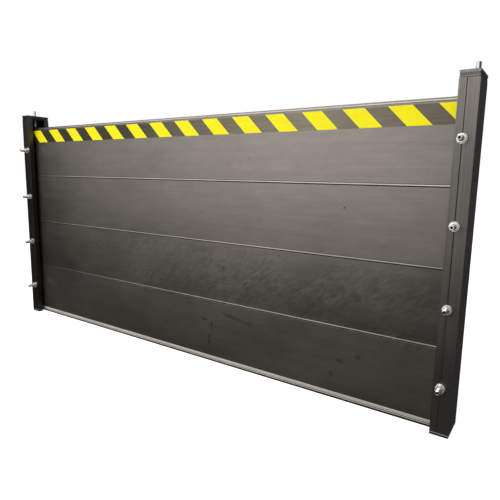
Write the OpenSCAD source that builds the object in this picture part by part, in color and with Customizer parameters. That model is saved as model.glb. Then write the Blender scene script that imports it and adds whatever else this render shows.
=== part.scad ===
// Demountable flood barrier, one bay: four hollow boards stacked between two channel posts.
// X runs along the boards, front is -Y, Z is up, ground at Z = 0. Sizes in millimetres.

/* [Drawing] */
// sub-part to draw

/* [Overall] */
// width over both posts
overall_width = 1814; // [1200:2:3000]

/* [Boards] */
// height of one board without its tongue
board_height = 199; // [150:0.5:300]
// board thickness, front to back
board_thk = 40; // [30:1:44]
// wall of the hollow board
board_wall = 2.5; // [2:0.5:5]
// solid rail along the top edge of a board
board_rail = 9; // [8:0.5:14]
// visible gap between two boards
joint_gap = 1; // [1:0.5:4]
// tongue width on top of a board
tongue_width = 14; // [10:1:18]
// tongue height on top of a board
tongue_height = 6; // [4:0.5:8]
// play of the tongue in the groove above
tongue_play = 0.5; // [0.3:0.1:1]
// radius of the long outer edges of a board
edge_radius = 1; // [1:0.5:3]
// height of the bead along the top edge
bead_height = 4; // [3:0.5:6]
// slope cut from the front top edge of the bead
bead_slope = 2.5; // [1:0.5:2.5]
// width of the fine line under the bead
line_width = 2; // [1:0.5:3]
// depth of the fine line under the bead
line_depth = 1.5; // [0.5:0.5:2]
// thickness of a board end cap
cap_thk = 3; // [2:0.5:5]
// how far the end cap stays inside the board outline
cap_inset = 0.5; // [0.2:0.1:1]
// gap between an end cap and the web of its post
end_clearance = 6; // [5:0.5:10]

/* [Posts] */
// post width along the boards
post_width = 45; // [40:1:60]
// post depth, front to back
post_depth = 95; // [90:1:110]
// depth of the front and back legs
leg_depth = 20; // [16:1:22]
// wall of the hollow legs
leg_wall = 3; // [2:0.5:5]
// thickness of the web on the outer side
web_thk = 6; // [4:0.5:10]
// distance of the fine line on the front face from the leg tip
post_line_in = 17.5; // [8:0.5:20]
// width of the fine line on the front face
post_line_width = 1.5; // [1:0.5:3]
// depth of the fine line on the front face
post_line_depth = 1; // [0.5:0.5:1.5]
// space over the top board, up to the head plate
head_room = 32; // [30:0.5:60]
// head plate thickness
head_thk = 17; // [12:1:25]
// foot pad thickness
foot_thk = 5; // [3:0.5:10]
// diameter of the anchor holes in the web
anchor_hole = 11; // [9:0.5:14]
// height of the lower anchor hole
anchor_low = 230; // [150:5:300]
// distance between the two anchor holes
anchor_pitch = 400; // [300:10:500]

/* [Seals] */
// sill seal height under the lowest board
sill_height = 20; // [12:1:30]
// how far the sill seal stays behind the board faces
sill_inset = 1; // [0.5:0.5:3]
// width of the fine lines in the sill seal
sill_line_width = 2; // [1:0.5:2]
// depth of the fine lines in the sill seal
sill_line_depth = 2.5; // [0.5:0.5:3]
// spacing of the fine lines in the sill seal
sill_line_pitch = 4.5; // [3:0.5:6]
// seal strip thickness on the back leg
seal_thk = 4.7; // [3:0.1:6]
// seal strip width on the back leg
seal_width = 20; // [12:1:28]
// distance of the seal strip from the leg tip
seal_in = 8; // [4:1:12]
// distance of the seal strip top below the head plate
seal_top_gap = 20; // [10:1:30]
// how far the joint seal stays behind the board face
joint_seal_inset = 3; // [2:0.5:5]
// gap between pieces that slide past each other
slide_gap = 0.3; // [0.2:0.1:0.5]

/* [Screws] */
// thread diameter of all screws
screw_dia = 12; // [10:1:14]
// radial play of a screw in its holes
screw_play = 0.1; // [0.05:0.05:0.2]
// how far a clamp screw stands out from the post face
clamp_out = 32; // [26:1:40]
// distance of the clamp screws from the leg tip
clamp_in = 17.5; // [14:0.5:20]
// height of a clamp screw above the bottom of its board
clamp_rise = 105; // [60:1:140]
// diameter of the pads under the clamp screws
clamp_pad_dia = 20; // [16:1:24]
// diameter of the pads under the hold-down screws
hold_pad_dia = 16; // [14:0.5:17]
// thickness of the pads under the screws
pad_thk = 4; // [3:0.5:5]
// hex socket in the screw ends, across flats
socket_flats = 6; // [5:0.5:7]
// depth of the hex socket
socket_depth = 8; // [5:0.5:12]
// nut size across flats
nut_flats = 19; // [17:1:22]
// nut thickness
nut_thk = 10; // [8:0.5:12]
// washer outside diameter
washer_dia = 24; // [22:1:30]
// washer thickness
washer_thk = 2.5; // [2:0.5:4]
// how far a hold-down screw stands up over the head plate
hold_out = 24; // [20:1:40]
// distance of the hold-down screw from the leg tip
hold_in = 30; // [24:0.5:30]

/* [Warning tape] */
// tape height
tape_height = 50; // [40:1:80]
// distance of the tape below the top edge of the board
tape_drop = 8.5; // [8:0.5:20]
// tape thickness
tape_thk = 0.4; // [0.3:0.1:1]

/* [Hidden] */
// smoothness of round pieces
$fn = 64;
// small overlap for clean cuts
eps = 1;
// names of all sub-parts
// number of boards in the stack
board_count = 4;
// left and right as mirror signs
LEFT = -1;
RIGHT = 1;
// places along X
half_width = overall_width / 2;
tip_x = half_width - post_width;
web_in_x = half_width - web_thk;
board_end_x = web_in_x - end_clearance;
board_body_x = board_end_x - cap_thk;
// places along Y, with the whole depth centred on Y = 0
front_y = -(clamp_out + post_depth) / 2;
face_y = front_y + clamp_out;
back_y = face_y + post_depth;
leg_in_y = face_y + leg_depth;
channel = post_depth - 2 * leg_depth;
channel_mid_y = leg_in_y + channel / 2;
board_back_y = leg_in_y + channel - seal_thk - slide_gap;
board_front_y = board_back_y - board_thk;
board_mid_y = board_front_y + board_thk / 2;
// places along Z
board_pitch = board_height + joint_gap;
stack_top = sill_height + (board_count - 1) * board_pitch + board_height;
tongue_top = stack_top + tongue_height;
post_top = tongue_top + head_room;
head_top = post_top + head_thk;
// fits
groove_width = tongue_width + 2 * tongue_play;
groove_height = tongue_height - joint_gap + tongue_play;
chamber_low = groove_height + board_wall;
chamber_count = 3;
chamber_height = (board_height - board_rail - chamber_low - (chamber_count - 1) * board_wall) / chamber_count;
screw_hole = screw_dia + 2 * screw_play;
washer_hole = screw_dia + 1;
sill_thk = board_thk - 2 * sill_inset;
sill_line_count = 3;

// bottom height of board n, counted from 1
function board_z(n) = sill_height + (n - 1) * board_pitch;

// height of clamp screw n
function clamp_z(n) = board_z(n) + clamp_rise;

// draws a section of Y and Z along X from x0 to x1
module along_x(x0, x1) {
    translate([x0, 0, 0]) rotate([90, 0, 90]) linear_extrude(x1 - x0) children();
}

// mirrors the right-hand piece for the left post
module on_side(side) {
    if (side == LEFT) mirror([1, 0, 0]) children();
    else children();
}

// round cylinder along Y from y0 to y1
module rod_y(d, y0, y1) {
    translate([0, y0, 0]) rotate([-90, 0, 0]) cylinder(d = d, h = y1 - y0);
}

// what a rounded outer corner takes away, for the corner at the origin
module corner_waste(r) {
    difference() {
        translate([-eps, -eps]) square(r + eps);
        translate([r, r]) circle(r);
    }
}

// what a slope takes away, for the front top corner at the origin
module slope_waste(s) {
    polygon([[-eps, eps], [-eps, -s - eps], [s + eps, eps]]);
}

// outline of a board from its front bottom corner
module board_outline() {
    difference() {
        square([board_thk, board_height]);
        corner_waste(edge_radius);
        translate([board_thk, 0]) mirror([1, 0]) corner_waste(edge_radius);
        translate([0, board_height]) slope_waste(bead_slope);
        translate([board_thk, board_height]) rotate(180) corner_waste(edge_radius);
        translate([-eps, board_height - bead_height - line_width])
            square([line_depth + eps, line_width]);
        translate([(board_thk - groove_width) / 2, -eps]) square([groove_width, groove_height + eps]);
    }
}

// hollow section of a board
module board_section() {
    difference() {
        union() {
            board_outline();
            translate([(board_thk - tongue_width) / 2, board_height - eps])
                square([tongue_width, tongue_height + eps]);
        }
        for (i = [0 : chamber_count - 1])
            translate([board_wall, chamber_low + i * (chamber_height + board_wall)])
                square([board_thk - 2 * board_wall, chamber_height]);
    }
}

module board(n) {
    color("#3c3b39")
        translate([0, board_front_y, board_z(n)])
            along_x(-board_body_x, board_body_x) board_section();
}

module board_cap(n, side) {
    color("#1d1d1d")
        on_side(side)
            translate([board_body_x, board_front_y + cap_inset, board_z(n) + cap_inset])
                cube([cap_thk, board_thk - 2 * cap_inset, board_height - 2 * cap_inset]);
}

// strip in the gap over board n, in front of the tongue
module joint_seal(n) {
    color("#161616")
        translate([-board_body_x, board_front_y + joint_seal_inset, board_z(n) + board_height])
            cube([2 * board_body_x, (board_thk - tongue_width) / 2 - joint_seal_inset - tongue_play, joint_gap]);
}

// ribbed strip with a spine that clips into the groove of the lowest board
module sill_section() {
    difference() {
        union() {
            translate([sill_inset, 0]) square([sill_thk, sill_height]);
            translate([(board_thk - tongue_width) / 2, sill_height - eps])
                square([tongue_width, groove_height + eps]);
        }
        for (i = [1 : sill_line_count])
            translate([0, i * sill_line_pitch - sill_line_width / 2]) {
                square([sill_inset + sill_line_depth, sill_line_width]);
                translate([board_thk - sill_inset - sill_line_depth, 0])
                    square([sill_inset + sill_line_depth, sill_line_width]);
            }
    }
}

module sill_seal() {
    color("#a9a7a2")
        translate([0, board_front_y, 0]) along_x(-board_body_x, board_body_x) sill_section();
}

module warning_tape() {
    color("#f7e81a")
        translate([-board_body_x, board_front_y - tape_thk, stack_top - tape_drop - tape_height])
            cube([2 * board_body_x, tape_thk, tape_height]);
}

// post section from its front leg tip
module post_section() {
    leg_core = [web_in_x - tip_x - leg_wall, leg_depth - 2 * leg_wall];
    difference() {
        square([post_width, post_depth]);
        translate([-eps, leg_depth]) square([post_width - web_thk + eps, channel]);
        translate([leg_wall, leg_wall]) square(leg_core);
        translate([leg_wall, post_depth - leg_depth + leg_wall]) square(leg_core);
        translate([post_line_in - post_line_width / 2, -eps])
            square([post_line_width, post_line_depth + eps]);
    }
}

module post(side) {
    color("#3a3a38")
        on_side(side)
            difference() {
                translate([tip_x, face_y, foot_thk]) linear_extrude(post_top - foot_thk) post_section();
                for (n = [1 : board_count])
                    translate([tip_x + clamp_in, 0, clamp_z(n)])
                        rod_y(screw_hole, face_y - eps, leg_in_y + eps);
                for (i = [0, 1])
                    translate([web_in_x - eps, channel_mid_y, anchor_low + i * anchor_pitch])
                        rotate([0, 90, 0]) cylinder(d = anchor_hole, h = web_thk + 2 * eps);
            }
}

module post_seal(side) {
    color("#161616")
        on_side(side)
            translate([tip_x + seal_in, leg_in_y + channel - seal_thk, foot_thk])
                cube([seal_width, seal_thk, post_top - seal_top_gap - foot_thk]);
}

// follows the post, open where the sill seal runs into the channel
module foot_pad(side) {
    color("#1a1a1a")
        on_side(side)
            translate([tip_x, face_y, 0])
                linear_extrude(foot_thk)
                    difference() {
                        square([post_width, post_depth]);
                        translate([-eps, leg_depth]) square([post_width - web_thk + eps, channel]);
                    }
}

module head_plate(side) {
    color("#3a3a38")
        on_side(side)
            difference() {
                translate([tip_x, face_y, post_top]) cube([post_width, post_depth, head_thk]);
                translate([tip_x + hold_in, board_mid_y, post_top - eps])
                    cylinder(d = screw_hole, h = head_thk + 2 * eps);
            }
}

// hex socket cut into a screw end at the origin, going down
module socket_cut() {
    translate([0, 0, -socket_depth])
        cylinder(d = socket_flats / cos(30), h = socket_depth + eps, $fn = 6);
}

// screw standing on its pad, from the origin up
module pad_screw(pad_dia, length) {
    difference() {
        union() {
            cylinder(d = pad_dia, h = pad_thk);
            cylinder(d = screw_dia, h = length);
        }
        translate([0, 0, length]) socket_cut();
    }
}

module hold_down_screw(side) {
    color("#b9bbbd")
        on_side(side)
            translate([tip_x + hold_in, board_mid_y, tongue_top + slide_gap])
                pad_screw(hold_pad_dia, head_top + hold_out - tongue_top - slide_gap);
}

module clamp_screw(n, side) {
    color("#b9bbbd")
        on_side(side)
            translate([tip_x + clamp_in, board_front_y - slide_gap, clamp_z(n)])
                rotate([90, 0, 0]) pad_screw(clamp_pad_dia, board_front_y - slide_gap - front_y);
}

module clamp_nuts(side) {
    color("#c3c5c7")
        on_side(side)
            for (n = [1 : board_count])
                translate([tip_x + clamp_in, face_y - washer_thk, clamp_z(n)])
                    rotate([90, 0, 0])
                        difference() {
                            cylinder(d = nut_flats / cos(30), h = nut_thk, $fn = 6);
                            translate([0, 0, -eps]) cylinder(d = screw_hole, h = nut_thk + 2 * eps);
                        }
}

module clamp_washers(side) {
    color("#c9cbcc")
        on_side(side)
            for (n = [1 : board_count])
                translate([tip_x + clamp_in, face_y, clamp_z(n)])
                    rotate([90, 0, 0])
                        difference() {
                            cylinder(d = washer_dia, h = washer_thk);
                            translate([0, 0, -eps]) cylinder(d = washer_hole, h = washer_thk + 2 * eps);
                        }
}

post(LEFT);  // left_post
post(RIGHT);  // right_post
post_seal(LEFT);  // left_post_seal
post_seal(RIGHT);  // right_post_seal
foot_pad(LEFT);  // left_foot_pad
foot_pad(RIGHT);  // right_foot_pad
head_plate(LEFT);  // left_head_plate
head_plate(RIGHT);  // right_head_plate
hold_down_screw(LEFT);  // left_hold_down_screw
hold_down_screw(RIGHT);  // right_hold_down_screw
board(1);  // board_1
board(2);  // board_2
board(3);  // board_3
board(4);  // board_4
board_cap(1, LEFT);  // board_1_left_cap
board_cap(2, LEFT);  // board_2_left_cap
board_cap(3, LEFT);  // board_3_left_cap
board_cap(4, LEFT);  // board_4_left_cap
board_cap(1, RIGHT);  // board_1_right_cap
board_cap(2, RIGHT);  // board_2_right_cap
board_cap(3, RIGHT);  // board_3_right_cap
board_cap(4, RIGHT);  // board_4_right_cap
joint_seal(1);  // joint_seal_1
joint_seal(2);  // joint_seal_2
joint_seal(3);  // joint_seal_3
sill_seal();
warning_tape();
clamp_screw(1, LEFT);  // left_clamp_screw_1
clamp_screw(2, LEFT);  // left_clamp_screw_2
clamp_screw(3, LEFT);  // left_clamp_screw_3
clamp_screw(4, LEFT);  // left_clamp_screw_4
clamp_screw(1, RIGHT);  // right_clamp_screw_1
clamp_screw(2, RIGHT);  // right_clamp_screw_2
clamp_screw(3, RIGHT);  // right_clamp_screw_3
clamp_screw(4, RIGHT);  // right_clamp_screw_4
clamp_nuts(LEFT);  // left_clamp_nuts
clamp_nuts(RIGHT);  // right_clamp_nuts
clamp_washers(LEFT);  // left_clamp_washers
clamp_washers(RIGHT);  // right_clamp_washers
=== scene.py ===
"""Looks of a demountable flood barrier: four hollow boards between two channel posts.

The object's lengths are written in millimetres and turned into the frame's metres by MM.
The camera, the lights and the stage are written in metres.
X runs along the boards, the front is -Y and the ground is at Z = 0.
"""
import math

import bmesh
import bpy
from mathutils import Matrix, Vector


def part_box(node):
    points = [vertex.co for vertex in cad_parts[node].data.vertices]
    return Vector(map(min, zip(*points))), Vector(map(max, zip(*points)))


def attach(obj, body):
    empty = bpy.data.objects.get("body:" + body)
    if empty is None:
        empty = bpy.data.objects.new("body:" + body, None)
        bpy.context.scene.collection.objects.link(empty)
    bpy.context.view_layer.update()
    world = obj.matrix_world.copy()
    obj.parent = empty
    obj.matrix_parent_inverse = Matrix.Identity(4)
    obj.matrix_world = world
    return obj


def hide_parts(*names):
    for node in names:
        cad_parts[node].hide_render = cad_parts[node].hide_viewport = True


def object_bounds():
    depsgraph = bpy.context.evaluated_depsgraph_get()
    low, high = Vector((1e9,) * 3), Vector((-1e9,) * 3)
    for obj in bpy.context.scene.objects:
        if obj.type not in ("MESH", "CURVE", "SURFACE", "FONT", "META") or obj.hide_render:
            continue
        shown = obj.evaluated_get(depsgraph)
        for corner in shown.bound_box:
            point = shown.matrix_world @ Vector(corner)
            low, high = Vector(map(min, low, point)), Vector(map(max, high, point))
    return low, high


MM = 0.001
SIDES = ("left", "right")
WHITE = (1.0, 1.0, 1.0)
BLACK = (0.0, 0.0, 0.0)

# Camera, fitted to the view of the photograph
CAMERA_PLACE = (1.0906, -1.1812, 0.6340)
CAMERA_TURN_DEG = (80.852, -0.987, 34.458)
CAMERA_SENSOR = 36.0
CAMERA_LENS = 33.26

# Boards
BOARD_COUNT = 4
BOARD_HEIGHT = 199.0
BOARD_PITCH = 200.0
BOARD_WALL = 2.5
BOARD_RAIL = 9.0
CHAMBER_COUNT = 3
CHAMBER_RADIUS = 1.0
EDGE_RADIUS = 0.8

# Bead along the front of a board's top edge, and the fine line under it
BEAD_HEIGHT = 3.1
BEAD_SLOPE_HEIGHT = 3.2
BEAD_SLOPE_DEPTH = 1.2
BEAD_LIP = 0.6
BEAD_REACH = 2 * BEAD_SLOPE_DEPTH + BEAD_LIP
BEAD_RADIUS = 0.3
BEAD_FOOT_RADIUS = 0.2
LINE_WIDTH = 2.9
LINE_DEPTH = 1.5
LINE_MOUTH_RADIUS = 0.5
LINE_FLOOR_RADIUS = 0.3
LINE_FLOOR_SHARE = 0.9
LINE_TOP = BOARD_HEIGHT - BEAD_HEIGHT
LINE_LOW = LINE_TOP - LINE_WIDTH

# Tongue on a board, and the groove that it fits
TONGUE_WIDTH = 14.0
TONGUE_HEIGHT = 6.0
TONGUE_RADIUS = 1.2
TONGUE_FOOT_RADIUS = 0.8
GROOVE_PLAY = 0.5
GROOVE_HEIGHT = 5.5
GROOVE_RADIUS = 0.5
GROOVE_MOUTH_RADIUS = 0.8

# Places of the materials in the lists of a board and of a head plate
PLAIN, LINE_FLOOR, BEAD = range(3)
HEAD_PLAIN, HEAD_SHADED_STEP, HEAD_CHANNEL_SHADE = range(3)

# Wiped smears on the boards: how far the front face reaches in Y, the middle height of the smears,
# where they set in along X, and their share elsewhere
FRONT_HALF = 5.0
SMEAR_HEIGHT = 300.0
SMEAR_START = (-600.0, -250.0)
SMEAR_REST = 0.2

# The lowest board has a paler tint
PALE_BOARD = 1
PALE_TINT = (1.12, 1.16, 1.14)

# The second board has painted shade towards its right end: where that starts and ends in X,
# and stops of (share of that length, tone)
SHADED_BOARD = 2
SHADE_RANGE = (400.0, 860.0)
SHADE_STOPS = ((0.0, 1.0), (0.3, 0.85), (0.78, 0.84), (1.0, 0.66))

# Dried runs and smudges on the lowest board: place in X and Z, half of the width and height,
# slant and depth; then their tone, how far they waver in X, and how much of an oval is full
MARKS = (
    (133.0, 122.0, 3.0, 28.0, 0.0, 1.0),
    (123.0, 74.0, 3.0, 28.0, 0.0, 1.0),
    (238.0, 169.0, 75.0, 7.0, -0.17, 0.6),
    (95.0, 145.0, 28.0, 6.0, -0.10, 0.6),
    (655.0, 142.0, 9.0, 9.0, 0.0, 0.8),
    (603.0, 117.0, 18.0, 6.0, -0.10, 0.5),
    (574.0, 73.0, 8.0, 8.0, 0.0, 0.7),
)
MARK_TONE = 0.04
MARK_WAVER = 2.0
OVAL_CORE = 0.3

# Finish of the posts: painted shade as a darker tone at the left end of the barrier beside the right end,
# and stops of (share of the height, tone) of painted light and shade over a post's height
LEFT_END_SHADE = 0.6
POST_HEIGHT = 870.0
POST_LIGHT_STOPS = ((0.0, 1.18), (0.74, 0.87), (1.0, 1.30))

# Fine line on the front faces of the posts, painted dark as shade in its groove: distance from the middle,
# place in Y, half of its width and depth, the heights between which it fades towards the ground, what is
# left of it there, and its tone
POST_LINE_X = 879.5
POST_LINE_Y = -30.5
POST_LINE_HALF_WIDTH = 0.9
POST_LINE_HALF_DEPTH = 0.6
POST_LINE_FADE = (280.0, 480.0)
POST_LINE_REST = 0.2
POST_LINE_SHADE = 0.02

# Pale line where a post meets its foot pad, painted as the highlight of the post's bottom edge: middle
# height, half of its width and colour
FOOT_LINE_HEIGHT = 6.2
FOOT_LINE_HALF = 1.4
FOOT_LINE_COLOUR = (0.27, 0.255, 0.23)

# How far the anodised aluminium is metal and not paint, and the shine of metal and rubber
METAL_SHARE = 0.97
METAL_IOR = 1.5
RUBBER_GLOSS = 0.1

# Head plates: steps of (inset, height), heights of the bands of painted shade on the recessed steps,
# and the top and the ends in Y of the faces over the channel of the post that are painted dark as shade
HEAD_STEPS = ((0.9, 0.0), (0.9, 1.8), (0.3, 1.8), (0.0, 2.1), (0.0, 4.2), (0.3, 4.5), (0.9, 4.5),
              (0.9, 9.8), (0.3, 9.8), (0.0, 10.1), (0.0, 16.4), (0.6, 17.0))
HEAD_SHADED_STEP_BANDS = ((0.0, 1.8), (4.5, 9.8))
HEAD_CORNER = 1.2
HEAD_CHANNEL_SHADE_TOP = 10.5
HEAD_CHANNEL_SHADE_ENDS = (-11.5, 43.5)

# Sill seal: fine lines along its front and back, one of them dark, and the height of its dark lip
SILL_HEIGHT = 20.0
SILL_RADIUS = 0.6
SILL_TOP_RADIUS = 2.6
SILL_LINE_COUNT = 3
SILL_LINE_PITCH = 4.5
SILL_LINE_WIDTH = 2.0
SILL_LINE_DEPTH = 2.5
SILL_LINE_RADIUS = 0.4
SILL_DARK_LINE = 2
SILL_LINE_RIM = 0.1
SILL_LIP = 6.6
SPINE_RADIUS = 1.0

# Strip seals of the posts: roundings and half of a gap as shares of a rib's width,
# and the depth of a gap as a share of the thickness
STRIP_RIB_COUNT = 4
STRIP_RADIUS = 0.5
RIB_END_ROUND = 0.3
RIB_ROUND = 0.2
RIB_GAP_HALF = 0.12
RIB_GAP_DEPTH = 0.35

# Screws: thread, hex socket painted dark inside as shade, and pressure pad
SCREW_RADIUS = 6.0
SCREW_CHAMFER = 1.2
THREAD_PITCH = 1.75
THREAD_DEPTH = 0.6
SOCKET_FLATS = 6.0
SOCKET_DEPTH = 8.0
SOCKET_CHAMFER = 0.4
SOCKET_TIP = 1.0
SOCKET_SHADE_BANDS = (2, 3)
PAD_HEIGHT = 4.0
PAD_RIM = 0.8
COLLAR_WALL = 1.2
COLLAR_HEIGHT = 0.6

# Nuts and washers; the dark bands of painted shade count the bands between their rings
BORE_PLAY = 0.1
NUT_FLATS = 19.0
NUT_FACE_SHARE = 0.97
NUT_SINK = 0.8
NUT_CHAMFER_DEG = 30.0
NUT_TURN_DEG = 17.0
LEFT_NUT_TURN_DEG = 8.0
NUT_SHADE_BANDS = (0, 1, 2, 6)
WASHER_PLAY = 0.5
WASHER_SOFT = 0.4
WASHER_SHADE_BANDS = (0, 5)

# Round shapes: steps around them, and the radius of the ring that closes an end
ROUND_STEPS = 48
AXIS_RADIUS = 0.01

# Warning tape: length of a yellow and a black stripe together, where a yellow one starts at the top,
# and stops of (share of the way from left to right, tone) that paint light and sheen on the film, paler
# towards the right
STRIPE_PERIOD = 121.3
STRIPE_START = 817.0
YELLOW_LIGHT_STOPS = ((0.0, 0.78), (0.5, 0.92), (1.0, 1.0))
BLACK_SHEEN_STOPS = ((0.0, 0.09), (0.35, 0.19), (0.5, 0.49), (0.77, 1.0), (0.95, 0.60))

# Edges: the angle from which an edge is sharp, points that count as one,
# and the softened edges of the nodes that keep their CAD mesh
SHARP_DEG = 32.0
MESH_WELD = 1e-4
CAD_WELD = 0.01
SOFTEN_FROM_DEG = 40.0
SOFTEN_SEGMENTS = 2
CAP_EDGE = 0.4
JOINT_SEAL_EDGE = 0.2
POST_EDGE = 0.7
FOOT_EDGE = 0.6

# Floor, in metres, and how far a card lies above the ground
FLOOR_HALF = 30.0
FLOOR_DROP = 0.0002
FLOOR_TONE = 0.8
FLOOR_ROUGHNESS = 0.9
FLOOR_GLOW = 0.75
CARD_RISE = 0.002

# Dark cards that lie on the ground, in metres: name, height, corners in X and Y, and colour
GROUND_CARDS = (
    ("ground_card", CARD_RISE,
     ((-6.0, -3.2), (3.0, -3.2), (3.0, 2.5), (0.9, 2.5), (0.9, 0.1), (-6.0, 0.1)), (0.057, 0.059, 0.050)),
    ("right_ground_card", 2 * CARD_RISE,
     ((0.1, -3.2), (3.0, -3.2), (3.0, -0.5), (0.1, -0.5)), (0.073, 0.069, 0.061)),
)

# Dark cards that stand across the boards, in metres: name, place in X, corners in Y and Z, and colour
STANDING_CARDS = (
    ("post_card", -0.96,
     ((-0.26, 0.0), (-0.03, 0.0), (-0.03, 1.3), (-0.14, 1.3), (-0.14, 0.75)), (0.008, 0.008, 0.008)),
    ("left_card", -1.3,
     ((-0.70, 0.0), (-0.15, 0.0), (-0.15, 0.9), (-0.22, 0.9), (-0.42, 0.75)), (0.03, 0.03, 0.03)),
    ("right_card", 0.99, ((0.06, 0.0), (2.0, 0.0), (2.0, 1.4), (0.06, 1.4)), (0.07, 0.07, 0.068)),
    ("side_card", 2.4, ((-2.6, 0.0), (1.0, 0.0), (1.0, 2.0), (-2.6, 2.0)), (0.03, 0.03, 0.03)),
)

# Softboxes, in metres: name, place, aim, width and height, and brightness
SOFTBOXES = (
    ("low_softbox", (-1.575, -3.4, 0.5), (-1.575, 0.0, 0.5), (3.35, 0.9), 1.2),
    ("front_softbox", (-1.6, -3.4, 1.4), (-1.6, 0.0, 1.4), (3.3, 0.9), 2.75),
    ("high_softbox", (-1.6, -1.75, 2.75), (-1.6, 0.0, 0.8), (5.0, 1.2), 4.0),
)

# Brightness of the surroundings as light on the object, and as they are seen
WORLD_LIGHT = 0.43
WORLD_SHOWN = 1.0

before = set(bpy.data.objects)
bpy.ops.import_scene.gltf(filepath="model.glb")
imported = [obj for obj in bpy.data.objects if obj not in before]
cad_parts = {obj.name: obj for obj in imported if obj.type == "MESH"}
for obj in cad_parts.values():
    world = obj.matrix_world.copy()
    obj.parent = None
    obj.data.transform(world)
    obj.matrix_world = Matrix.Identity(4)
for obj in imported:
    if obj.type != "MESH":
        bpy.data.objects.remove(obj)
cad_low, cad_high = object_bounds()


def node_box(node):
    """Lowest and highest corner of a CAD node, in millimetres."""
    low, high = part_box(node)
    return low / MM, high / MM


def board_middle(n):
    """Height of the middle of a board, counted from the lowest one."""
    return SILL_HEIGHT + (n - 0.5) * BOARD_PITCH


def add_object(name, data):
    """A new object in the scene."""
    made = bpy.data.objects.new(name, data)
    bpy.context.scene.collection.objects.link(made)
    return made


# Shader helpers

def grey(value):
    return (value, value, value)


def grey_stops(stops):
    """Stops of (place, tone) as stops of (place, grey colour)."""
    return [(place, grey(tone)) for place, tone in stops]


def new_material(name, **sockets):
    """Makes a material and sets the numbers and colours that are the same all over it."""
    material = bpy.data.materials.new(name)
    material.use_nodes = True
    shader = material.node_tree.nodes["Principled BSDF"]
    for socket, value in sockets.items():
        shader.inputs[socket.replace("_", " ")].default_value = value
    return material, material.node_tree, shader


def own_coordinates(tree, size, turn=0.0):
    """The piece's own coordinates, turned about Y by degrees and counted in grains of a size in mm."""
    source = tree.nodes.new("ShaderNodeTexCoord")
    mapping = tree.nodes.new("ShaderNodeMapping")
    mapping.vector_type = "TEXTURE"
    mapping.inputs["Rotation"].default_value = (0.0, math.radians(turn), 0.0)
    mapping.inputs["Scale"].default_value = [length * MM for length in size]
    tree.links.new(source.outputs["Object"], mapping.inputs["Vector"])
    return mapping.outputs["Vector"]


def noise(tree, size, detail=3.0, roughness=0.5, turn=0.0, distortion=0.0):
    """Cloudy noise with grains of a size along each axis."""
    texture = tree.nodes.new("ShaderNodeTexNoise")
    texture.inputs["Scale"].default_value = 1.0
    texture.inputs["Detail"].default_value = detail
    texture.inputs["Roughness"].default_value = roughness
    texture.inputs["Distortion"].default_value = distortion
    tree.links.new(own_coordinates(tree, size, turn), texture.inputs["Vector"])
    return texture.outputs["Fac"]


def spots(tree, size):
    """Distance from the nearest of scattered points, counted in grains of a size in mm."""
    texture = tree.nodes.new("ShaderNodeTexVoronoi")
    texture.inputs["Scale"].default_value = 1.0
    tree.links.new(own_coordinates(tree, (size, size, size)), texture.inputs["Vector"])
    return texture.outputs["Distance"]


def ramp(tree, value, stops):
    """Turns a value into a colour through stops of (place, colour)."""
    node = tree.nodes.new("ShaderNodeValToRGB")
    elements = node.color_ramp.elements
    while len(elements) < len(stops):
        elements.new(0.5)
    for element, (place, colour) in zip(elements, stops):
        element.position = place
        element.color = (*colour, 1.0)
    tree.links.new(value, node.inputs["Fac"])
    return node.outputs["Color"]


def spread(tree, value, low, high, from_low=0.3, from_high=0.7):
    """Maps a value to a range of numbers."""
    node = tree.nodes.new("ShaderNodeMapRange")
    node.inputs["From Min"].default_value = from_low
    node.inputs["From Max"].default_value = from_high
    node.inputs["To Min"].default_value = low
    node.inputs["To Max"].default_value = high
    tree.links.new(value, node.inputs["Value"])
    return node.outputs["Result"]


def rise(tree, value, span, low=0.0):
    """Goes from low to 1 as a length in metres passes a span of two places in millimetres."""
    start, end = span
    return spread(tree, value, low, 1.0, start * MM, end * MM)


def from_left(tree, x):
    """0 at the left end of the barrier and 1 at the right end."""
    return spread(tree, x, 0.0, 1.0, cad_low.x, cad_high.x)


def combine(tree, operation, *values):
    """Joins values by a calculation; plain numbers and outputs both count as values."""
    total = values[0]
    for value in values[1:]:
        node = tree.nodes.new("ShaderNodeMath")
        node.operation = operation
        for source, socket in ((total, node.inputs[0]), (value, node.inputs[1])):
            if isinstance(source, float):
                socket.default_value = source
            else:
                tree.links.new(source, socket)
        total = node.outputs[0]
    return total


def tint(tree, *colours):
    """Multiplies colour outputs with each other."""
    total = colours[0]
    for colour in colours[1:]:
        node = tree.nodes.new("ShaderNodeMix")
        node.data_type = "RGBA"
        node.blend_type = "MULTIPLY"
        node.inputs["Factor"].default_value = 1.0
        tree.links.new(total, node.inputs["A"])
        tree.links.new(colour, node.inputs["B"])
        total = node.outputs["Result"]
    return total


def cover(tree, share, under, over):
    """Lays a plain colour over a colour output where share is 1."""
    node = tree.nodes.new("ShaderNodeMix")
    node.data_type = "RGBA"
    tree.links.new(share, node.inputs["Factor"])
    tree.links.new(under, node.inputs["A"])
    node.inputs["B"].default_value = (*over, 1.0)
    return node.outputs["Result"]


def own_axes(tree):
    """The piece's own X, Y and Z in metres."""
    source = tree.nodes.new("ShaderNodeTexCoord")
    axes = tree.nodes.new("ShaderNodeSeparateXYZ")
    tree.links.new(source.outputs["Object"], axes.inputs["Vector"])
    return axes.outputs["X"], axes.outputs["Y"], axes.outputs["Z"]


def near(tree, value, place, half):
    """1 where a length in metres lies within half of a place, both in millimetres, and 0 elsewhere."""
    node = tree.nodes.new("ShaderNodeMath")
    node.operation = "COMPARE"
    tree.links.new(value, node.inputs[0])
    node.inputs[1].default_value = place * MM
    node.inputs[2].default_value = half * MM
    return node.outputs[0]


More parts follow.
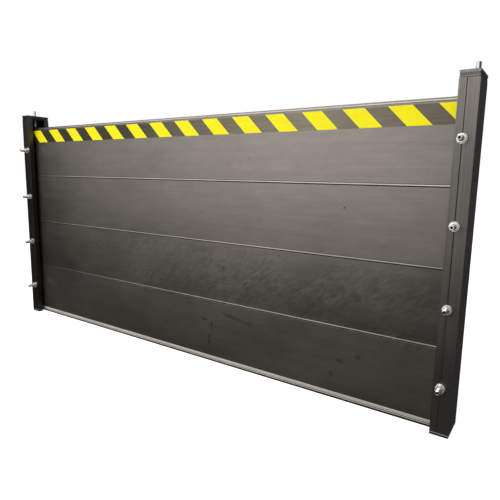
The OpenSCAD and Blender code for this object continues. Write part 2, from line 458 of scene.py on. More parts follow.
def oval(tree, values, middle, half):
    """1 in the middle of an oval and 0 outside it; values in metres, middle and half in millimetres."""
    squares = []
    for value, place, reach in zip(values, middle, half):
        share = combine(tree, "DIVIDE", combine(tree, "SUBTRACT", value, place * MM), reach * MM)
        squares.append(combine(tree, "MULTIPLY", share, share))
    return spread(tree, combine(tree, "ADD", *squares), 1.0, 0.0, OVAL_CORE, 1.0)


def add_bump(tree, shader, layers):
    """Chains bump layers of (height output, depth in millimetres) into the shader's normal."""
    normal = None
    for height, depth in layers:
        bump = tree.nodes.new("ShaderNodeBump")
        bump.inputs["Strength"].default_value = 1.0
        bump.inputs["Distance"].default_value = depth * MM
        tree.links.new(height, bump.inputs["Height"])
        if normal is not None:
            tree.links.new(normal, bump.inputs["Normal"])
        normal = bump.outputs["Normal"]
    tree.links.new(normal, shader.inputs["Normal"])


# Materials

def add_marks(tree, tone, axes, on_front):
    """Lays the dried runs and smudges over a tone, with broken edges."""
    x, z = axes
    waver = spread(tree, noise(tree, (25, 25, 25)), -MARK_WAVER * MM, MARK_WAVER * MM)
    across = combine(tree, "ADD", x, waver)
    broken = spread(tree, noise(tree, (12, 12, 12)), 0.2, 1.0, 0.38, 0.58)
    for mark_x, mark_z, half_width, half_height, slant, depth in MARKS:
        level = combine(tree, "SUBTRACT", z, combine(tree, "MULTIPLY", across, slant))
        middle = (mark_x, mark_z - slant * mark_x)
        mark = combine(tree, "MULTIPLY", on_front, broken, depth,
                       oval(tree, (across, level), middle, (half_width, half_height)))
        tone = cover(tree, mark, tone, grey(MARK_TONE))
    return tone


def board_finish(name, dark, light):
    """Satin dark aluminium: drawn lines along the board, clouds, wiped smears, drips, specks and marks,
    with painted shade towards the second board's right end.
    """
    material, tree, shader = new_material(name, Metallic=METAL_SHARE, IOR=METAL_IOR)
    clouds = noise(tree, (300, 300, 160), detail=5.0, roughness=0.55)
    patches = noise(tree, (85, 85, 26), detail=4.0, roughness=0.6)
    drawn = noise(tree, (600, 4, 3), detail=4.0, roughness=0.6)
    grain = noise(tree, (0.7, 0.7, 0.7), detail=2.0)
    strokes = noise(tree, (46, 46, 13), detail=3.0, roughness=0.5, turn=-38.0, distortion=1.4)
    wiped = noise(tree, (260, 260, 120), detail=2.0)
    drips = noise(tree, (7, 7, 260), detail=3.0, roughness=0.6)
    specks = spots(tree, 85)
    x, y, z = own_axes(tree)
    on_front = near(tree, y, 0.0, FRONT_HALF)
    on_smears = near(tree, z, SMEAR_HEIGHT, BOARD_HEIGHT / 2)
    on_pale = near(tree, z, board_middle(PALE_BOARD), BOARD_HEIGHT / 2)
    on_shaded_board = near(tree, z, board_middle(SHADED_BOARD), BOARD_HEIGHT / 2)
    wiped_share = combine(tree, "MULTIPLY", on_front, spread(tree, on_smears, SMEAR_REST, 1.0, 0.0, 1.0),
                          rise(tree, x, SMEAR_START, SMEAR_REST),
                          spread(tree, wiped, SMEAR_REST, 1.0, 0.38, 0.58))
    smears = combine(tree, "MULTIPLY", spread(tree, strokes, -1.0, 1.0, 0.35, 0.65), wiped_share)
    # Painted shade: the second board's front darkens towards its right end
    painted_shade = combine(tree, "MULTIPLY", on_front, rise(tree, x, SHADE_RANGE), on_shaded_board)
    tone = tint(
        tree,
        ramp(tree, clouds, ((0.3, dark), (0.7, light))),
        ramp(tree, patches, ((0.3, grey(0.92)), (0.7, grey(1.06)))),
        ramp(tree, drawn, ((0.25, grey(0.86)), (0.75, grey(1.03)))),
        ramp(tree, spread(tree, smears, 0.0, 1.0, -1.0, 1.0), ((0.0, grey(0.84)), (1.0, grey(1.14)))),
        ramp(tree, drips, ((0.68, WHITE), (0.82, grey(0.75)))),
        ramp(tree, on_pale, ((0.0, WHITE), (1.0, PALE_TINT))),
        ramp(tree, painted_shade, grey_stops(SHADE_STOPS)),
        ramp(tree, specks, ((0.02, grey(0.4)), (0.045, WHITE))),
    )
    rough = combine(tree, "ADD", spread(tree, clouds, 0.36, 0.42),
                    spread(tree, smears, -0.02, 0.02, -1.0, 1.0))
    tree.links.new(add_marks(tree, tone, (x, z), on_front), shader.inputs["Base Color"])
    tree.links.new(rough, shader.inputs["Roughness"])
    add_bump(tree, shader, ((drawn, 0.010), (grain, 0.006)))
    return material


def post_finish(name, dark, light, is_post=False):
    """Dark aluminium drawn along Z, with painted shade towards the left end of the barrier; a post also
    has painted light and shade over its height, a dark fine line painted as shade in its groove, and a
    pale line at its foot painted as a highlight.
    """
    material, tree, shader = new_material(name, Metallic=METAL_SHARE, IOR=METAL_IOR)
    clouds = noise(tree, (120, 120, 260), detail=5.0, roughness=0.55)
    drawn = noise(tree, (3.5, 3.5, 700), detail=4.0, roughness=0.6)
    grain = noise(tree, (0.7, 0.7, 0.7), detail=2.0)
    specks = spots(tree, 60)
    x, y, z = own_axes(tree)
    tone = tint(
        tree,
        # Painted shade: darker towards the left end of the barrier
        ramp(tree, from_left(tree, x), ((0.0, grey(LEFT_END_SHADE)), (1.0, WHITE))),
        ramp(tree, clouds, ((0.3, dark), (0.7, light))),
        ramp(tree, drawn, ((0.3, grey(0.72)), (0.7, WHITE))),
        ramp(tree, specks, ((0.02, grey(0.5)), (0.04, WHITE))),
    )
    if is_post:
        side = combine(tree, "ABSOLUTE", x, 0.0)
        line = combine(tree, "MULTIPLY", near(tree, side, POST_LINE_X, POST_LINE_HALF_WIDTH),
                       near(tree, y, POST_LINE_Y, POST_LINE_HALF_DEPTH),
                       rise(tree, z, POST_LINE_FADE, POST_LINE_REST))
        # Painted highlight: a pale line where the post meets its foot pad
        foot_highlight = near(tree, z, FOOT_LINE_HEIGHT, FOOT_LINE_HALF)
        # Painted light and shade over the height of the post
        tone = tint(tree, tone, ramp(tree, rise(tree, z, (0.0, POST_HEIGHT)), grey_stops(POST_LIGHT_STOPS)))
        # Painted shade in the groove of the fine line
        tone = cover(tree, line, tone, grey(POST_LINE_SHADE))
        tone = cover(tree, foot_highlight, tone, FOOT_LINE_COLOUR)
        tree.links.new(spread(tree, foot_highlight, METAL_SHARE, 0.0, 0.0, 1.0), shader.inputs["Metallic"])
    tree.links.new(tone, shader.inputs["Base Color"])
    tree.links.new(spread(tree, clouds, 0.34, 0.42), shader.inputs["Roughness"])
    add_bump(tree, shader, ((drawn, 0.012), (grain, 0.005)))
    return material


def bright_metal(name, dark, light, metal_share, rough_low, rough_high):
    """Turned or plated steel with a few dull spots."""
    material, tree, shader = new_material(name, Metallic=metal_share)
    stains = noise(tree, (4.5, 4.5, 4.5), detail=4.0)
    grain = noise(tree, (0.4, 0.4, 0.4), detail=2.0)
    tree.links.new(ramp(tree, stains, ((0.35, dark), (0.6, light))), shader.inputs["Base Color"])
    tree.links.new(spread(tree, stains, rough_high, rough_low), shader.inputs["Roughness"])
    add_bump(tree, shader, ((grain, 0.003),))
    return material


def rubber(name, dark, light, pore):
    """Matt rubber or foam with a fine pored skin; pore is the size of a pore in millimetres."""
    material, tree, shader = new_material(name, Specular_IOR_Level=RUBBER_GLOSS)
    pores = noise(tree, (pore, pore, pore), detail=3.0)
    clouds = noise(tree, (110, 25, 25), detail=4.0)
    skin = ramp(tree, pores, ((0.3, grey(0.85)), (0.65, WHITE)))
    tone = ramp(tree, clouds, ((0.3, dark), (0.7, light)))
    tree.links.new(tint(tree, tone, skin), shader.inputs["Base Color"])
    tree.links.new(spread(tree, clouds, 0.62, 0.8), shader.inputs["Roughness"])
    add_bump(tree, shader, ((pores, 0.04),))
    return material


def moulded_plastic():
    """Black moulded plastic with a fine spark-eroded grain, also used as painted shade."""
    material, tree, shader = new_material("moulded_plastic")
    grain = noise(tree, (1.1, 1.1, 1.1), detail=2.0)
    clouds = noise(tree, (30, 30, 30))
    tone = ramp(tree, clouds, ((0.3, grey(0.008)), (0.7, grey(0.016))))
    tree.links.new(tone, shader.inputs["Base Color"])
    tree.links.new(spread(tree, grain, 0.4, 0.55), shader.inputs["Roughness"])
    add_bump(tree, shader, ((grain, 0.02),))
    return material


def tape_film(name, dark, light, gloss, painted_light_stops):
    """Printed film with a slight orange peel and faint scuffs; stops paint light and sheen on it as a tone
    from left to right.
    """
    material, tree, shader = new_material(name, Specular_IOR_Level=gloss)
    peel = noise(tree, (2.4, 2.4, 2.4), detail=2.0)
    scuffs = noise(tree, (70, 16, 8), detail=5.0, roughness=0.65)
    x, _, _ = own_axes(tree)
    tone = tint(
        tree,
        ramp(tree, scuffs, ((0.3, dark), (0.6, light))),
        # Painted light and sheen: the film is paler towards the right
        ramp(tree, from_left(tree, x), grey_stops(painted_light_stops)),
    )
    tree.links.new(tone, shader.inputs["Base Color"])
    tree.links.new(spread(tree, scuffs, 0.46, 0.36), shader.inputs["Roughness"])
    add_bump(tree, shader, ((peel, 0.008),))
    return material


board_metal = board_finish("board_metal", (0.143, 0.130, 0.115), (0.178, 0.162, 0.145))
# Lit and shaded copies of the board finish: a brighter bead as painted highlight, dimmer on the lowest
# board
dim_bead_highlight_metal = board_finish("dim_bead_highlight_metal", (0.124, 0.119, 0.106), (0.154, 0.148, 0.132))
bead_highlight_metal = board_finish("bead_highlight_metal", (0.200, 0.183, 0.163), (0.249, 0.229, 0.206))
post_metal = post_finish("post_metal", (0.125, 0.115, 0.104), (0.151, 0.139, 0.127), is_post=True)
head_metal = post_finish("head_metal", (0.180, 0.165, 0.150), (0.217, 0.200, 0.183))
head_shade_metal = post_finish("head_shade_metal", (0.085, 0.078, 0.071), (0.140, 0.128, 0.117))
steel = bright_metal("turned_steel", (0.56, 0.55, 0.53), (0.74, 0.73, 0.71),
                     metal_share=0.9, rough_low=0.10, rough_high=0.20)
zinc = bright_metal("zinc_plate", (0.60, 0.59, 0.57), (0.78, 0.77, 0.75),
                    metal_share=0.65, rough_low=0.18, rough_high=0.32)
# Black rubber, also used as painted shade in the boards' fine lines and on the head plates
black_rubber_and_shade = rubber("black_rubber_and_shade", grey(0.010), grey(0.022), pore=1.4)
grey_rubber = rubber("grey_rubber", (0.525, 0.495, 0.435), (0.635, 0.605, 0.535), pore=1.1)
plastic_and_shade = moulded_plastic()
tape_yellow = tape_film("tape_yellow", (0.93, 0.82, 0.003), (0.98, 0.87, 0.004),
                        gloss=0.15, painted_light_stops=YELLOW_LIGHT_STOPS)
tape_black = tape_film("tape_black", (0.192, 0.172, 0.122), (0.250, 0.224, 0.161),
                       gloss=0.1, painted_light_stops=BLACK_SHEEN_STOPS)


# Mesh helpers

def finish_mesh(bm, name, materials):
    """Turns a bmesh in millimetres into an object in metres, smooth but for its sharp edges."""
    bmesh.ops.remove_doubles(bm, verts=bm.verts, dist=MESH_WELD)
    bmesh.ops.dissolve_degenerate(bm, dist=MESH_WELD, edges=bm.edges)
    bmesh.ops.recalc_face_normals(bm, faces=bm.faces)
    bmesh.ops.scale(bm, vec=(MM, MM, MM), verts=bm.verts)
    for face in bm.faces:
        face.smooth = True
    for edge in bm.edges:
        if len(edge.link_faces) == 2 and edge.calc_face_angle() > math.radians(SHARP_DEG):
            edge.smooth = False
    mesh = bpy.data.meshes.new(name)
    bm.to_mesh(mesh)
    bm.free()
    for material in materials:
        mesh.materials.append(material)
    piece = add_object(name, mesh)
    normals = piece.modifiers.new("flat faces stay flat", "WEIGHTED_NORMAL")
    normals.keep_sharp = True
    return piece


def stand_for(piece, body, slot, *nodes):
    """The piece rides on a body in place of CAD nodes."""
    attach(piece, body)
    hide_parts(*nodes)


def rounded(corners, steps=5):
    """Outline through corners of (u, v, radius), with an arc at each corner that has a radius."""
    outline = []
    for i, (u, v, radius) in enumerate(corners):
        point = Vector((u, v))
        before = (Vector(corners[i - 1][:2]) - point).normalized()
        after = (Vector(corners[(i + 1) % len(corners)][:2]) - point).normalized()
        if radius == 0:
            outline.append(point)
            continue
        half = before.angle(after) / 2
        bisector = (before + after).normalized()
        centre = point + bisector * (radius / math.sin(half))
        start = point + before * (radius / math.tan(half)) - centre
        end = point + after * (radius / math.tan(half)) - centre
        sweep = start.angle_signed(end)
        for k in range(steps + 1):
            turned = start.copy()
            turned.rotate(Matrix.Rotation(-sweep * k / steps, 2))
            outline.append(centre + turned)
    return outline


def fill_outlines(bm, outlines, to_space, at):
    """Flat end inside the first outline and outside the others."""
    edges = []
    for outline in outlines:
        ring = [bm.verts.new(to_space(p.x, p.y, at)) for p in outline]
        edges += [bm.edges.new((ring[i - 1], ring[i])) for i in range(len(ring))]
    bmesh.ops.triangle_fill(bm, edges=edges, use_beauty=True)


def extrude_outline(bm, outlines, start, end, to_space, finish_of=lambda p, q: 0):
    """Closed prism between two ends. The first outline is the outside, the others are hollows.

    finish_of(p, q) counts the material of the side between two points of an outline.
    """
    for at in (start, end):
        fill_outlines(bm, outlines, to_space, at)
    for outline in outlines:
        for i, p in enumerate(outline):
            q = outline[i - 1]
            corners = ((p, start), (q, start), (q, end), (p, end))
            side = bm.faces.new([bm.verts.new(to_space(c.x, c.y, at)) for c, at in corners])
            side.material_index = finish_of(p, q)


def along_x(low):
    """Puts a section, counted in Y and Z from a corner, at a place along X."""
    return lambda u, v, x: (x, low.y + u, low.z + v)


def on_circle(radius, angle, height):
    return Vector((radius * math.cos(angle), radius * math.sin(angle), height))


def is_between(low, p, q, high):
    return low < min(p, q) and max(p, q) < high


def lathe(bm, rings, place, closed=True, second=()):
    """Skin over rings of (radius function of the angle, height function of the angle).

    The bands counted in second take the second material.
    """
    rows = []
    for radius, height in rings:
        row = []
        for k in range(ROUND_STEPS):
            angle = 2 * math.pi * k / ROUND_STEPS
            point = on_circle(radius(angle), angle, height(angle))
            row.append(bm.verts.new(place @ point))
        rows.append(row)
    pairs = list(zip(rows, rows[1:]))
    if closed:
        pairs.append((rows[-1], rows[0]))
    for band, (low, high) in enumerate(pairs):
        for k in range(ROUND_STEPS):
            face = bm.faces.new((low[k - 1], low[k], high[k], high[k - 1]))
            face.material_index = int(band in second)


def fixed(value):
    """The same number at every angle."""
    return lambda angle: value


def fixed_rings(profile):
    """Round rings from a profile of (radius, height)."""
    return [(fixed(radius), fixed(height)) for radius, height in profile]


def hexagon(flats):
    """Distance from the middle to the edge of a hexagon, by angle."""
    return lambda angle: flats / 2 / math.cos(angle % (math.pi / 3) - math.pi / 6)


# Boards

def board_outlines(depth):
    """Outside and chambers of a board section, as places in Y and Z from its front bottom corner."""
    tongue_low = (depth - TONGUE_WIDTH) / 2
    tongue_high = (depth + TONGUE_WIDTH) / 2
    groove_low = tongue_low - GROOVE_PLAY
    groove_high = tongue_high + GROOVE_PLAY
    lip_top = BOARD_HEIGHT + BEAD_LIP
    top = BOARD_HEIGHT + TONGUE_HEIGHT
    outside = rounded((
        (0, 0, EDGE_RADIUS),
        (0, LINE_LOW, LINE_MOUTH_RADIUS),
        (LINE_DEPTH, LINE_LOW, LINE_FLOOR_RADIUS),
        (LINE_DEPTH, LINE_TOP, LINE_FLOOR_RADIUS),
        (0, LINE_TOP, BEAD_FOOT_RADIUS),
        (0, lip_top - BEAD_SLOPE_HEIGHT, BEAD_RADIUS),
        (BEAD_SLOPE_DEPTH, lip_top, BEAD_RADIUS),
        (2 * BEAD_SLOPE_DEPTH, lip_top, BEAD_RADIUS),
        (BEAD_REACH, BOARD_HEIGHT, BEAD_FOOT_RADIUS),
        (tongue_low, BOARD_HEIGHT, TONGUE_FOOT_RADIUS),
        (tongue_low, top, TONGUE_RADIUS),
        (tongue_high, top, TONGUE_RADIUS),
        (tongue_high, BOARD_HEIGHT, TONGUE_FOOT_RADIUS),
        (depth, BOARD_HEIGHT, EDGE_RADIUS),
        (depth, 0, EDGE_RADIUS),
        (groove_high, 0, GROOVE_MOUTH_RADIUS),
        (groove_high, GROOVE_HEIGHT, GROOVE_RADIUS),
        (groove_low, GROOVE_HEIGHT, GROOVE_RADIUS),
        (groove_low, 0, GROOVE_MOUTH_RADIUS),
    ))
    low = GROOVE_HEIGHT + BOARD_WALL
    clear = BOARD_HEIGHT - BOARD_RAIL - low - (CHAMBER_COUNT - 1) * BOARD_WALL
    height = clear / CHAMBER_COUNT
    chambers = []
    for i in range(CHAMBER_COUNT):
        z = low + i * (height + BOARD_WALL)
        corners = ((BOARD_WALL, z), (BOARD_WALL, z + height),
                   (depth - BOARD_WALL, z + height), (depth - BOARD_WALL, z))
        chambers.append(rounded([(u, v, CHAMBER_RADIUS) for u, v in corners], steps=2))
    return [outside, *chambers]


def board_side_finish(p, q):
    """Which of the board's materials lies between two points of its outline."""
    in_front = max(p.x, q.x) < BEAD_REACH
    if in_front and min(p.y, q.y) >= LINE_TOP:
        return BEAD
    on_floor = min(p.x, q.x) > LINE_DEPTH * LINE_FLOOR_SHARE
    if in_front and on_floor and is_between(LINE_LOW, p.y, q.y, LINE_TOP):
        return LINE_FLOOR
    return PLAIN


def build_board(n):
    """Hollow board; the floor of its fine line is painted black as shade where another board stands on it.
    """
    node = f"board_{n}"
    low, high = node_box(node)
    bm = bmesh.new()
    extrude_outline(bm, board_outlines(high.y - low.y), low.x, high.x, along_x(low), board_side_finish)
    # Painted shade: black on the floor of the fine line under a joint
    line_floor = black_rubber_and_shade if n < BOARD_COUNT else board_metal
    # Painted highlight on the bead, dimmer on the lowest board
    bead = bead_highlight_metal if n > 1 else dim_bead_highlight_metal
    piece = finish_mesh(bm, f"board_{n}_profile", [board_metal, line_floor, bead])
    stand_for(piece, node, "board", node)


# Seals

def build_sill_seal():
    """Ribbed seal under the lowest board, with one dark line and a dark lip at the ground."""
    low, high = node_box("sill_seal")
    depth = high.y - low.y
    spine_low = (depth - TONGUE_WIDTH) / 2
    spine_high = (depth + TONGUE_WIDTH) / 2
    spine_top = high.z - low.z
    front = [(0, 0, SILL_RADIUS)]
    for i in range(1, SILL_LINE_COUNT + 1):
        middle = i * SILL_LINE_PITCH
        line_low = middle - SILL_LINE_WIDTH / 2
        line_high = middle + SILL_LINE_WIDTH / 2
        front += [(0, line_low, SILL_RADIUS), (SILL_LINE_DEPTH, line_low, SILL_LINE_RADIUS),
                  (SILL_LINE_DEPTH, line_high, SILL_LINE_RADIUS), (0, line_high, SILL_RADIUS)]
    front.append((0, SILL_HEIGHT, SILL_TOP_RADIUS))
    spine = [(spine_low, SILL_HEIGHT, 0), (spine_low, spine_top, SPINE_RADIUS),
             (spine_high, spine_top, SPINE_RADIUS), (spine_high, SILL_HEIGHT, 0)]
    back = [(depth - u, v, r) for u, v, r in reversed(front)]
    dark_low = SILL_DARK_LINE * SILL_LINE_PITCH - SILL_LINE_WIDTH / 2 - SILL_LINE_RIM
    dark_high = dark_low + SILL_LINE_WIDTH + 2 * SILL_LINE_RIM

    def sill_side_finish(p, q):
        return int(max(p.y, q.y) < SILL_LIP or is_between(dark_low, p.y, q.y, dark_high))

    bm = bmesh.new()
    extrude_outline(bm, [rounded(front + spine + back)], low.x, high.x, along_x(low), sill_side_finish)
    piece = finish_mesh(bm, "sill_seal_ribbed", [grey_rubber, black_rubber_and_shade])
    stand_for(piece, "board_1", "grey_seal", "sill_seal")


def build_post_seal(side):
    """Strip on the back leg with rounded ribs towards the boards."""
    node = f"{side}_post_seal"
    low, high = node_box(node)
    width = high.x - low.x
    thickness = high.y - low.y
    rib = width / STRIP_RIB_COUNT
    corners = [(0, thickness, STRIP_RADIUS), (0, 0, rib * RIB_END_ROUND)]
    for i in range(1, STRIP_RIB_COUNT):
        corners += [(i * rib - rib * RIB_GAP_HALF, 0, rib * RIB_ROUND),
                    (i * rib, thickness * RIB_GAP_DEPTH, 0),
                    (i * rib + rib * RIB_GAP_HALF, 0, rib * RIB_ROUND)]
    corners += [(width, 0, rib * RIB_END_ROUND), (width, thickness, STRIP_RADIUS)]
    bm = bmesh.new()
    extrude_outline(bm, [rounded(corners)], low.z, high.z,
                    lambda u, v, z: (low.x + u, low.y + v, z))
    piece = finish_mesh(bm, f"{side}_post_seal_ribbed", [black_rubber_and_shade])
    stand_for(piece, "posts", "black_seal", node)


# Screws, nuts and washers

def facing_front(place):
    """Frame at a place with its Z axis towards the front."""
    return Matrix.Translation(place) @ Matrix.Rotation(math.pi / 2, 4, "X")


def along_screw(node_low, node_high, outward):
    """Frame of a screw with its pad at the start and its socket end outward, and its length."""
    middle = (node_low + node_high) / 2
    if outward == "front":
        place = facing_front((middle.x, node_high.y, middle.z))
        return place, node_high.y - node_low.y
    return Matrix.Translation((middle.x, middle.y, node_low.z)), node_high.z - node_low.z


def screw_pad(bm, place, radius):
    """Round pressure pad with a softened rim, and a raised collar where there is room for one."""
    inner = radius - PAD_RIM
    collar = SCREW_RADIUS + COLLAR_WALL
    profile = [(AXIS_RADIUS, 0), (inner, 0), (radius, PAD_RIM), (radius, PAD_HEIGHT - PAD_RIM)]
    if collar < inner:
        shoulder = PAD_HEIGHT - COLLAR_HEIGHT
        profile += [(inner, shoulder), (collar, shoulder), (collar, PAD_HEIGHT)]
    else:
        profile.append((inner, PAD_HEIGHT))
    profile.append((AXIS_RADIUS, PAD_HEIGHT))
    lathe(bm, fixed_rings(profile), place)


def screw_thread(bm, place, start, end):
    """Helical thread with chamfered ends, and a hex socket in the outer end that is painted dark inside as
    shade.
    """
    crest = (1.0, 1.0, 0.0, 0.0)
    rows_per_turn = len(crest)
    turns = math.ceil((end - start) / THREAD_PITCH) + 1
    row_count = turns * rows_per_turn
    columns = []
    for k in range(ROUND_STEPS + 1):
        angle = 2 * math.pi * k / ROUND_STEPS
        column = []
        for row in range(row_count + 1):
            turn = row / rows_per_turn + k / ROUND_STEPS - 1
            z = min(max(start + turn * THREAD_PITCH, start), end)
            radius = SCREW_RADIUS - THREAD_DEPTH * (1.0 - crest[row % rows_per_turn])
            limit = SCREW_RADIUS - SCREW_CHAMFER + min(z - start, end - z)
            column.append(bm.verts.new(place @ on_circle(min(radius, limit), angle, z)))
        columns.append(column)
    for left, right in zip(columns, columns[1:]):
        for row in range(row_count):
            bm.faces.new((left[row], right[row], right[row + 1], left[row + 1]))
    mouth = SCREW_RADIUS - SCREW_CHAMFER
    socket = hexagon(SOCKET_FLATS)
    rings = ((fixed(mouth), fixed(end)),
             (lambda angle: socket(angle) + SOCKET_CHAMFER, fixed(end)),
             (socket, fixed(end - SOCKET_CHAMFER)),
             (socket, fixed(end - SOCKET_DEPTH)),
             (fixed(AXIS_RADIUS), fixed(end - SOCKET_DEPTH - SOCKET_TIP)))
    lathe(bm, rings, place, closed=False, second=SOCKET_SHADE_BANDS)
    lathe(bm, fixed_rings(((mouth, start), (AXIS_RADIUS, start))), place, closed=False)


def build_screw(node, body, outward):
    """Steel screw with a plastic pressure pad and painted shade inside its socket."""
    low, high = node_box(node)
    place, length = along_screw(low, high, outward)
    pad_radius = (high.x - low.x) / 2
    bm = bmesh.new()
    screw_pad(bm, place, pad_radius)
    for face in bm.faces:
        face.material_index = 1
    screw_thread(bm, place, PAD_HEIGHT, length)
    piece = finish_mesh(bm, f"{node}_threaded", [steel, plastic_and_shade])
    stand_for(piece, body, "steel", node)


def nut_rings(low, high):
    """Rings of a hex nut with chamfered corners and a countersunk bore."""
    height = high.y - low.y
    bore = SCREW_RADIUS + BORE_PLAY
    face = NUT_FLATS / 2 * NUT_FACE_SHARE
    slope = math.tan(math.radians(NUT_CHAMFER_DEG))
    outline = hexagon(NUT_FLATS)

    def drop(angle):
        return (outline(angle) - face) * slope

    return (
        (fixed(bore + NUT_SINK), fixed(0)),
        (fixed(bore), fixed(NUT_SINK)),
        (fixed(bore), fixed(height - NUT_SINK)),
        (fixed(bore + NUT_SINK), fixed(height)),
        (fixed(face), fixed(height)),
        (outline, lambda angle: height - drop(angle)),
        (outline, drop),
        (fixed(face), fixed(0)),
    )


def washer_rings(low, high):
    """Rings of a flat washer with softened edges."""
    height = high.y - low.y
    outer = (high.x - low.x) / 2
    bore = SCREW_RADIUS + WASHER_PLAY
    return fixed_rings((
        (bore, 0),
        (bore, height - WASHER_SOFT),
        (bore + WASHER_SOFT, height),
        (outer - WASHER_SOFT, height),
        (outer, height - WASHER_SOFT),
        (outer, WASHER_SOFT),
        (outer - WASHER_SOFT, 0),
    ))


def build_row(side, kind, rings_of, shade_bands):
    """The four nuts or washers of one post as one piece, each turned a little differently, with bands of
    painted shade.
    """
    node = f"{side}_clamp_{kind}"
    low, high = node_box(node)
    first_turn = LEFT_NUT_TURN_DEG if side == "left" else 0.0
    bm = bmesh.new()
    for n in range(1, BOARD_COUNT + 1):
        screw_low, screw_high = node_box(f"{side}_clamp_screw_{n}")
        middle = (screw_low + screw_high) / 2
        place = facing_front((middle.x, high.y, middle.z))
        turn = Matrix.Rotation(math.radians(NUT_TURN_DEG * n + first_turn), 4, "Z")
        lathe(bm, rings_of(low, high), place @ turn, second=shade_bands)
    piece = finish_mesh(bm, f"{node}_turned", [zinc, plastic_and_shade])
    stand_for(piece, "posts", "steel", node)


# Head plates

def head_outline(low, high, inset, side):
    """Outline of a head plate at an inset, with the ends of the faces painted dark as shade marked on its
    inner side.
    """
    left = low.x + inset
    right = high.x - inset
    corners = [(left, low.y + inset, HEAD_CORNER), (left, high.y - inset, HEAD_CORNER),
               (right, high.y - inset, HEAD_CORNER), (right, low.y + inset, HEAD_CORNER)]
    front, back = HEAD_CHANNEL_SHADE_ENDS
    if side == "right":
        corners[1:1] = [(left, front, 0), (left, back, 0)]
    else:
        corners[3:3] = [(right, back, 0), (right, front, 0)]
    return rounded(corners)


def head_side_finish(p, q, height):
    """Which of the plate's materials lies between two outline points at a height."""
    if height < HEAD_CHANNEL_SHADE_TOP and p.x == q.x and {p.y, q.y} == set(HEAD_CHANNEL_SHADE_ENDS):
        return HEAD_CHANNEL_SHADE
    in_band = any(low <= height <= high for low, high in HEAD_SHADED_STEP_BANDS)
    return HEAD_SHADED_STEP if in_band else HEAD_PLAIN


def build_head_plate(side):
    """Stepped plate with bands of painted shade on its recessed steps, faces painted dark as shade over
    the channel, and a bore for the hold-down screw.
    """
    node = f"{side}_head_plate"
    low, high = node_box(node)
    screw_low, screw_high = node_box(f"{side}_hold_down_screw")
    middle = (screw_low + screw_high) / 2
    bore = [middle.xy + on_circle(SCREW_RADIUS + BORE_PLAY, 2 * math.pi * k / ROUND_STEPS, 0).xy
            for k in range(ROUND_STEPS)]
    outlines = [(head_outline(low, high, inset, side), height) for inset, height in HEAD_STEPS]
    walls = [*zip(outlines, outlines[1:]), ((bore, 0), (bore, high.z - low.z))]
    bm = bmesh.new()
    for (under, z_under), (over, z_over) in walls:
        for i in range(len(under)):
            corners = ((under[i - 1], z_under), (under[i], z_under),
                       (over[i], z_over), (over[i - 1], z_over))
            face = bm.faces.new([bm.verts.new((p.x, p.y, low.z + z)) for p, z in corners])
            if under is not bore:
                face.material_index = head_side_finish(under[i - 1], under[i], (z_under + z_over) / 2)
    for outline, height in (outlines[0], outlines[-1]):
        fill_outlines(bm, (outline, bore), lambda x, y, z: (x, y, low.z + z), height)
    piece = finish_mesh(bm, f"{side}_head_plate_stepped", [head_metal, head_shade_metal, black_rubber_and_shade])
    stand_for(piece, f"{side}_head", "post", node)


# Warning tape

def clip_x(polygon, limit, keep_right):
    """Cuts a polygon of (x, z) at x = limit and keeps one side."""
    kept = []
    for i, p in enumerate(polygon):
        q = polygon[i - 1]
        p_in = (p[0] >= limit) == keep_right
        q_in = (q[0] >= limit) == keep_right
        if p_in != q_in:
            share = (limit - q[0]) / (p[0] - q[0])
            kept.append((limit, q[1] + share * (p[1] - q[1])))
        if p_in:
            kept.append(p)
    return kept


def build_tape():
    """Film with slanted yellow and black stripes; going down, a stripe moves to the right."""
    low, high = node_box("warning_tape")
    height = high.z - low.z
    half = STRIPE_PERIOD / 2
    first = STRIPE_START - half * math.ceil((STRIPE_START - low.x + height) / half)
    count = math.ceil((high.x - first) / half)
    bm = bmesh.new()
    for k in range(count):
        left = first + k * half
        right = left + half
        cell = [(left, high.z), (right, high.z), (right + height, low.z), (left + height, low.z)]
        cell = clip_x(clip_x(cell, low.x, True), high.x, False)
        if len(cell) < 3:
            continue
        stripe = round((left - STRIPE_START) / half) % 2
        for y in (low.y, high.y):
            bm.faces.new([bm.verts.new((x, y, z)) for x, z in cell]).material_index = stripe
        for i, (x, z) in enumerate(cell):
            x_before, z_before = cell[i - 1]
            on_rim = z == z_before or (x == x_before and x in (low.x, high.x))
            if on_rim:
                corners = ((x, low.y, z), (x_before, low.y, z_before),
                           (x_before, high.y, z_before), (x, high.y, z))
                bm.faces.new([bm.verts.new(c) for c in corners]).material_index = stripe
    piece = finish_mesh(bm, "warning_tape_striped", [tape_yellow, tape_black])
    stand_for(piece, "board_4", "tape", "warning_tape")


# Nodes that keep their CAD mesh

def dress(node, material, soften):
    """Gives a CAD node its material and softens its edges."""
    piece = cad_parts[node]
    for slot in piece.material_slots:
        slot.material = material
    weld = piece.modifiers.new("weld", "WELD")
    weld.merge_threshold = CAD_WELD * MM
    bevel = piece.modifiers.new("edges", "BEVEL")
    bevel.width = soften * MM
    bevel.segments = SOFTEN_SEGMENTS
    bevel.limit_method = "ANGLE"
    bevel.angle_limit = math.radians(SOFTEN_FROM_DEG)
    bevel.harden_normals = True


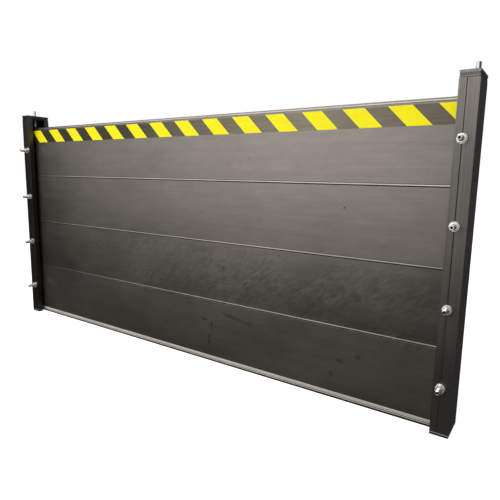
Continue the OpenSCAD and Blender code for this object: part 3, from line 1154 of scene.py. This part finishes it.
for n in range(1, BOARD_COUNT + 1):
    build_board(n)
    for side in SIDES:
        build_screw(f"{side}_clamp_screw_{n}", f"{side}_clamp_{n}", "front")
        dress(f"board_{n}_{side}_cap", plastic_and_shade, CAP_EDGE)
for n in range(1, BOARD_COUNT):
    dress(f"joint_seal_{n}", black_rubber_and_shade, JOINT_SEAL_EDGE)
for side in SIDES:
    build_screw(f"{side}_hold_down_screw", f"{side}_hold_down", "up")
    build_row(side, "nuts", nut_rings, NUT_SHADE_BANDS)
    build_row(side, "washers", washer_rings, WASHER_SHADE_BANDS)
    build_post_seal(side)
    dress(f"{side}_post", post_metal, POST_EDGE)
    build_head_plate(side)
    dress(f"{side}_foot_pad", black_rubber_and_shade, FOOT_EDGE)
build_sill_seal()
build_tape()


# Stage, light and camera

def ray_mask(tree):
    """1 for rays from the eye, from gloss and through glass; 0 for the rest."""
    path = tree.nodes.new("ShaderNodeLightPath")
    kinds = ("Is Camera Ray", "Is Glossy Ray", "Is Transmission Ray")
    return combine(tree, "MAXIMUM", *(path.outputs[kind] for kind in kinds))


def stage_plane(name, corners, material):
    """A flat sheet of the stage."""
    mesh = bpy.data.meshes.new(name)
    mesh.from_pydata(corners, [], [range(len(corners))])
    mesh.materials.append(material)
    sheet = add_object(name, mesh)
    return sheet


def floor_material():
    """Pale floor that shows as white and keeps a soft shadow."""
    material, tree, shader = new_material(
        "pale_floor", Base_Color=(*grey(FLOOR_TONE), 1.0), Roughness=FLOOR_ROUGHNESS,
        Specular_IOR_Level=0.0, Emission_Color=(*WHITE, 1.0))
    glow = spread(tree, ray_mask(tree), 0.0, FLOOR_GLOW, 0.0, 1.0)
    tree.links.new(glow, shader.inputs["Emission Strength"])
    return material


def card_material(name, colour):
    """Dark cloth of an even tone."""
    material, _, _ = new_material(
        name, Base_Color=(*BLACK, 1.0), Roughness=1.0, Specular_IOR_Level=0.0,
        Emission_Color=(*colour, 1.0), Emission_Strength=1.0)
    return material


def dark_card(name, corners, colour):
    """A flag that only shows in reflections."""
    card = stage_plane(name, corners, card_material(name, colour))
    card.visible_camera = False
    card.visible_diffuse = False
    card.visible_shadow = False


def area_light(name, place, aim, size, strength):
    """Softbox with an even brightness of strength over its face."""
    width, height = size
    light = bpy.data.lights.new(name, "AREA")
    light.shape = "RECTANGLE"
    light.size = width
    light.size_y = height
    light.energy = strength * math.pi * width * height
    lamp = add_object(name, light)
    lamp.location = place
    lamp.rotation_euler = (Vector(aim) - Vector(place)).to_track_quat("-Z", "Y").to_euler()


def build_world():
    """Even surroundings that are seen as white."""
    world = bpy.data.worlds.new("studio")
    world.use_nodes = True
    tree = world.node_tree
    background = tree.nodes["Background"]
    background.inputs["Color"].default_value = (*WHITE, 1.0)
    brightness = spread(tree, ray_mask(tree), WORLD_LIGHT, WORLD_SHOWN, 0.0, 1.0)
    tree.links.new(brightness, background.inputs["Strength"])
    bpy.context.scene.world = world


def build_camera():
    """Camera at the photograph's place, with its view."""
    camera_data = bpy.data.cameras.new("camera")
    camera_data.sensor_width = CAMERA_SENSOR
    camera_data.lens = CAMERA_LENS
    camera = add_object("camera", camera_data)
    camera.location = CAMERA_PLACE
    camera.rotation_euler = [math.radians(angle) for angle in CAMERA_TURN_DEG]
    bpy.context.scene.camera = camera


floor_signs = ((-1, -1), (1, -1), (1, 1), (-1, 1))
floor_corners = [(x * FLOOR_HALF, y * FLOOR_HALF, -FLOOR_DROP) for x, y in floor_signs]
stage_plane("floor", floor_corners, floor_material())
for name, height, corners, colour in GROUND_CARDS:
    dark_card(name, [(x, y, height) for x, y in corners], colour)
for name, place, corners, colour in STANDING_CARDS:
    dark_card(name, [(place, y, z) for y, z in corners], colour)
for softbox in SOFTBOXES:
    area_light(*softbox)
build_world()
build_camera()
bpy.context.scene.view_settings.view_transform = "Standard"
